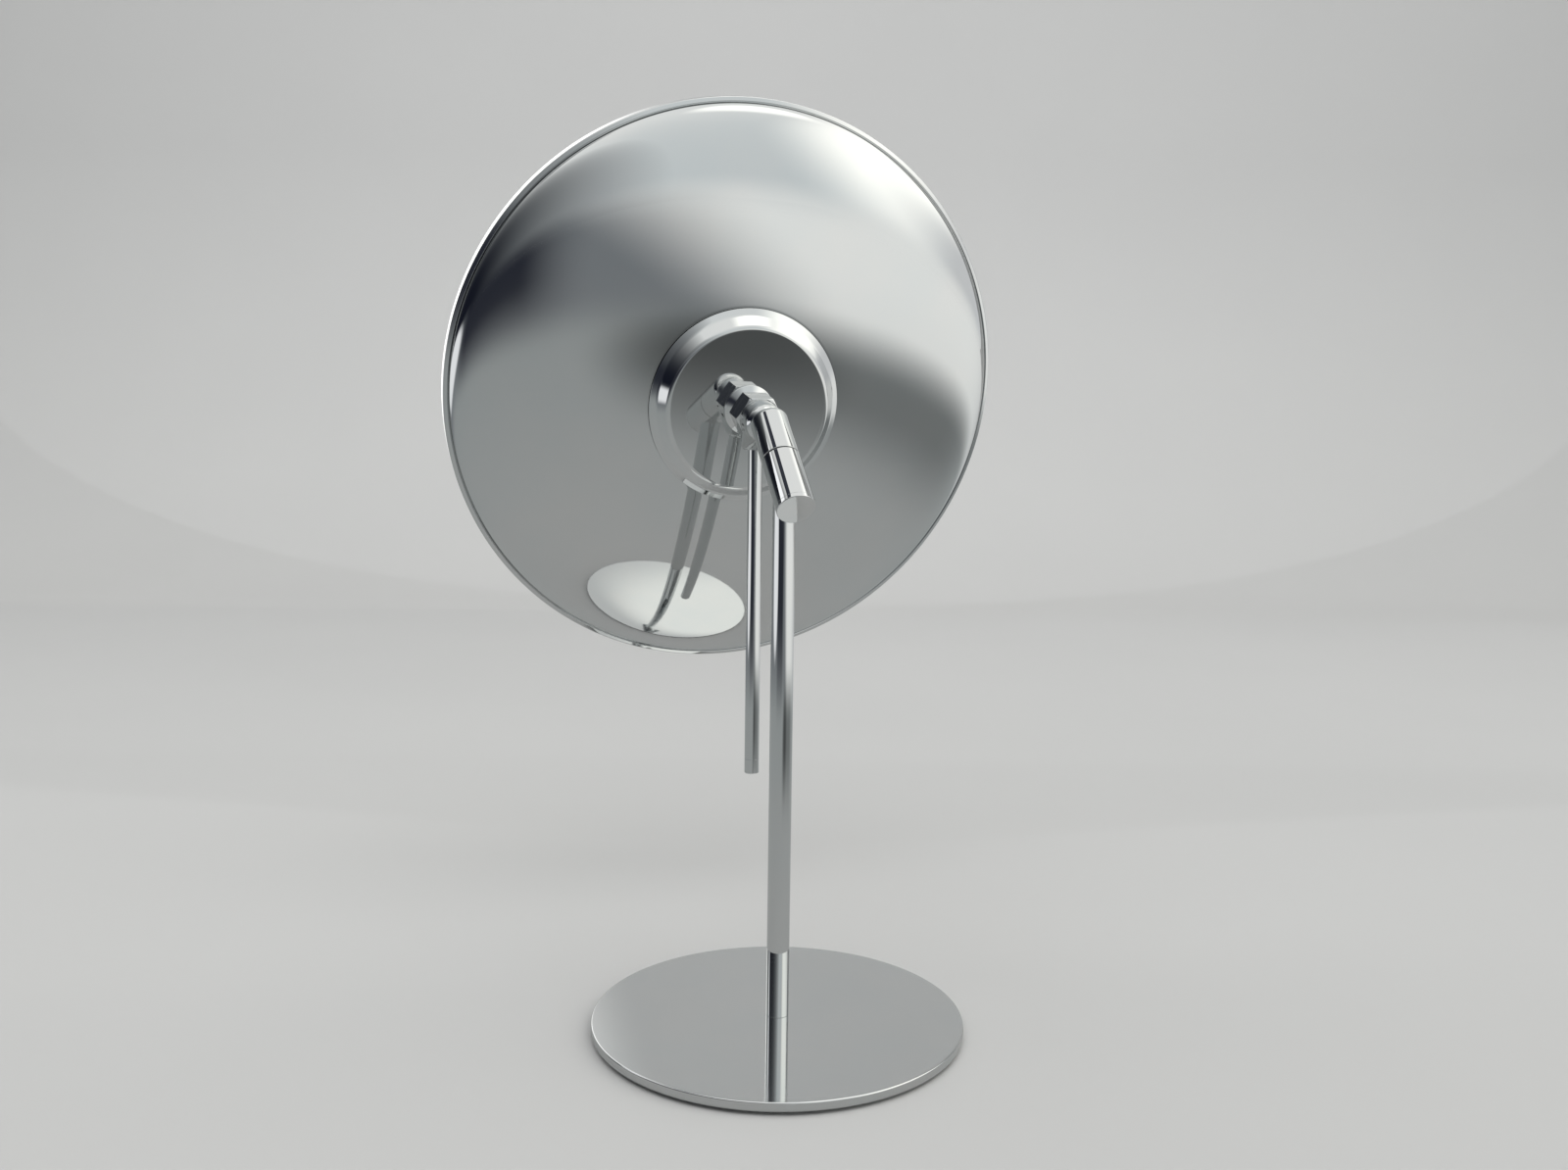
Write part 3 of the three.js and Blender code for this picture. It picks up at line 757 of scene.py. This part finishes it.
EYE_LINE = 245.0  # mean height of the mirror, from which the floor's directions are reckoned
NEAR, FADE = 100.0, 330.0  # where the sky's tones set in; mm over which the paper fades e times
PAPER_KEPT = 0.80  # the most of the paper's light that reaches the chrome
BELT_SHADE, SPOT_SHADE = 0.45, 0.55  # how far the two places of painted shade in the floor's reflection are held back
SHADE_SPOT = ((330, -460), (270, 270), 0.20, 1.0)  # spot of painted shade in the floor's reflection; to the camera's right, away from it, mm
SHADE_OVER = 0.3  # height of the sheet over the floor


def floor_shade():
    """sheet over the floor that only the chrome sees: a painted reflection that fades the paper
    into the sky's tones, with two places of painted shade
    """
    m, g = bare_material("floor_shade")
    place = g.nodes.new("ShaderNodeTexCoord").outputs["Object"]
    x, y = g.dot(place, direction(1000, 0, 0)), g.dot(place, direction(0, 1000, 0))
    az = g.op("MULTIPLY", g.op("ARCTAN2", x, g.op("MULTIPLY", y, -1.0)), math.degrees(1))
    reach = g.oval(x, y, (0, 0), (1, 1))
    el = g.op("MULTIPLY", g.op("ARCTAN2", -EYE_LINE, reach), math.degrees(1))
    fade = g.op("POWER", math.e, g.op("DIVIDE", g.op("SUBTRACT", NEAR, reach), FADE))
    fade = g.rest(g.op("MINIMUM", fade, 1.0))
    # painted shade in the floor's reflection: a belt ahead of the camera and a spot to its right
    ahead = g.op("MULTIPLY", g.ramp(az, 5, 35), g.rest(g.ramp(az, 85, 125)))
    painted_belt = g.op("MULTIPLY", g.ramp(reach, 260, 520), g.rest(g.ramp(reach, 560, 980)))
    dip = g.rest(g.op("MULTIPLY", g.op("MULTIPLY", ahead, painted_belt), BELT_SHADE))
    painted_spot = g.patch(x, y, *SHADE_SPOT)
    dip = g.op("MULTIPLY", dip, g.rest(g.op("MULTIPLY", painted_spot, SPOT_SHADE)))
    clear = g.nodes.new("ShaderNodeBsdfTransparent")
    keep = g.op("MULTIPLY", g.op("MULTIPLY", g.rest(fade), dip), PAPER_KEPT)
    g.links.new(g.mix(keep, (0, 0, 0), (1, 1, 1)), clear.inputs["Color"])
    glow = g.nodes.new("ShaderNodeEmission")
    g.links.new(studio_light(g, az, el), glow.inputs["Color"])
    g.links.new(g.op("MULTIPLY", fade, dip), glow.inputs["Strength"])
    both = g.nodes.new("ShaderNodeAddShader")
    g.links.new(clear.outputs[0], both.inputs[0])
    g.links.new(glow.outputs[0], both.inputs[1])
    g.links.new(both.outputs[0], g.nodes["Material Output"].inputs["Surface"])
    rim, far = STAGE - 10, SWEEP_AT - 100
    reflections_only(sheet("floor_shade", [(-rim, SHADE_OVER), (far, SHADE_OVER)], rim, m))


floor_shade()


def card(name, where, aim, size, colour):
    """glowing oval card with a soft edge that only the chrome sees"""
    m, g = bare_material(name)
    place = g.nodes.new("ShaderNodeTexCoord").outputs["Object"]
    u, v = g.dot(place, (1, 0, 0)), g.dot(place, (0, 1, 0))
    half = (size[0] / 2 * MM, size[1] / 2 * MM)
    edge = g.oval(u, v, (0, 0), half)
    glow = g.nodes.new("ShaderNodeEmission")
    glow.inputs["Color"].default_value = (*colour, 1)
    clear = g.nodes.new("ShaderNodeBsdfTransparent")
    both = g.nodes.new("ShaderNodeMixShader")
    g.links.new(g.ramp(edge, 0.35, 1.0), both.inputs["Fac"])
    g.links.new(glow.outputs[0], both.inputs[1])
    g.links.new(clear.outputs[0], both.inputs[2])
    g.links.new(both.outputs[0], g.nodes["Material Output"].inputs["Surface"])
    mesh = bpy.data.meshes.new(name)
    corners = ((-1, -1), (1, -1), (1, 1), (-1, 1))
    mesh.from_pydata([(i * half[0], j * half[1], 0) for i, j in corners], [], [(0, 1, 2, 3)])
    o = bpy.data.objects.new(name, mesh)
    bpy.context.scene.collection.objects.link(o)
    mesh.materials.append(m)
    o.location = studio(*where)
    o.rotation_mode = "QUATERNION"
    o.rotation_quaternion = (studio(*aim) - o.location).to_track_quat("Z", "Y")
    reflections_only(o)


# behind the mirror as the camera sees it, for the bright line on the rim
card("card_behind", (-440, 800, 560), (-60, 40, 300), (700, 1000), (1.9, 1.89, 1.86))


def area(name, where, aim, size, power, spread=180):
    """broad lamp that lights the paper and stays out of the chrome"""
    data = bpy.data.lights.new(name, "AREA")
    data.shape, data.size, data.size_y = "RECTANGLE", size[0] * MM, size[1] * MM
    data.energy, data.spread = power, math.radians(spread)
    o = bpy.data.objects.new(name, data)
    bpy.context.scene.collection.objects.link(o)
    o.location = studio(*where)
    o.rotation_mode = "QUATERNION"
    o.rotation_quaternion = (studio(*aim) - o.location).to_track_quat("-Z", "Y")
    o.visible_glossy = False


area("overhead", (-150, 100, 2400), (0, 300, 0), (2200, 2200), 1.0)
area("backdrop_wash", (0, -700, 1500), (0, 2400, 900), (2600, 900), 14.0)
area("backdrop_glow", (0, -700, 1500), (0, 2400, 900), (2600, 900), 15.0, 105)

bpy.context.scene.view_settings.view_transform = "Standard"
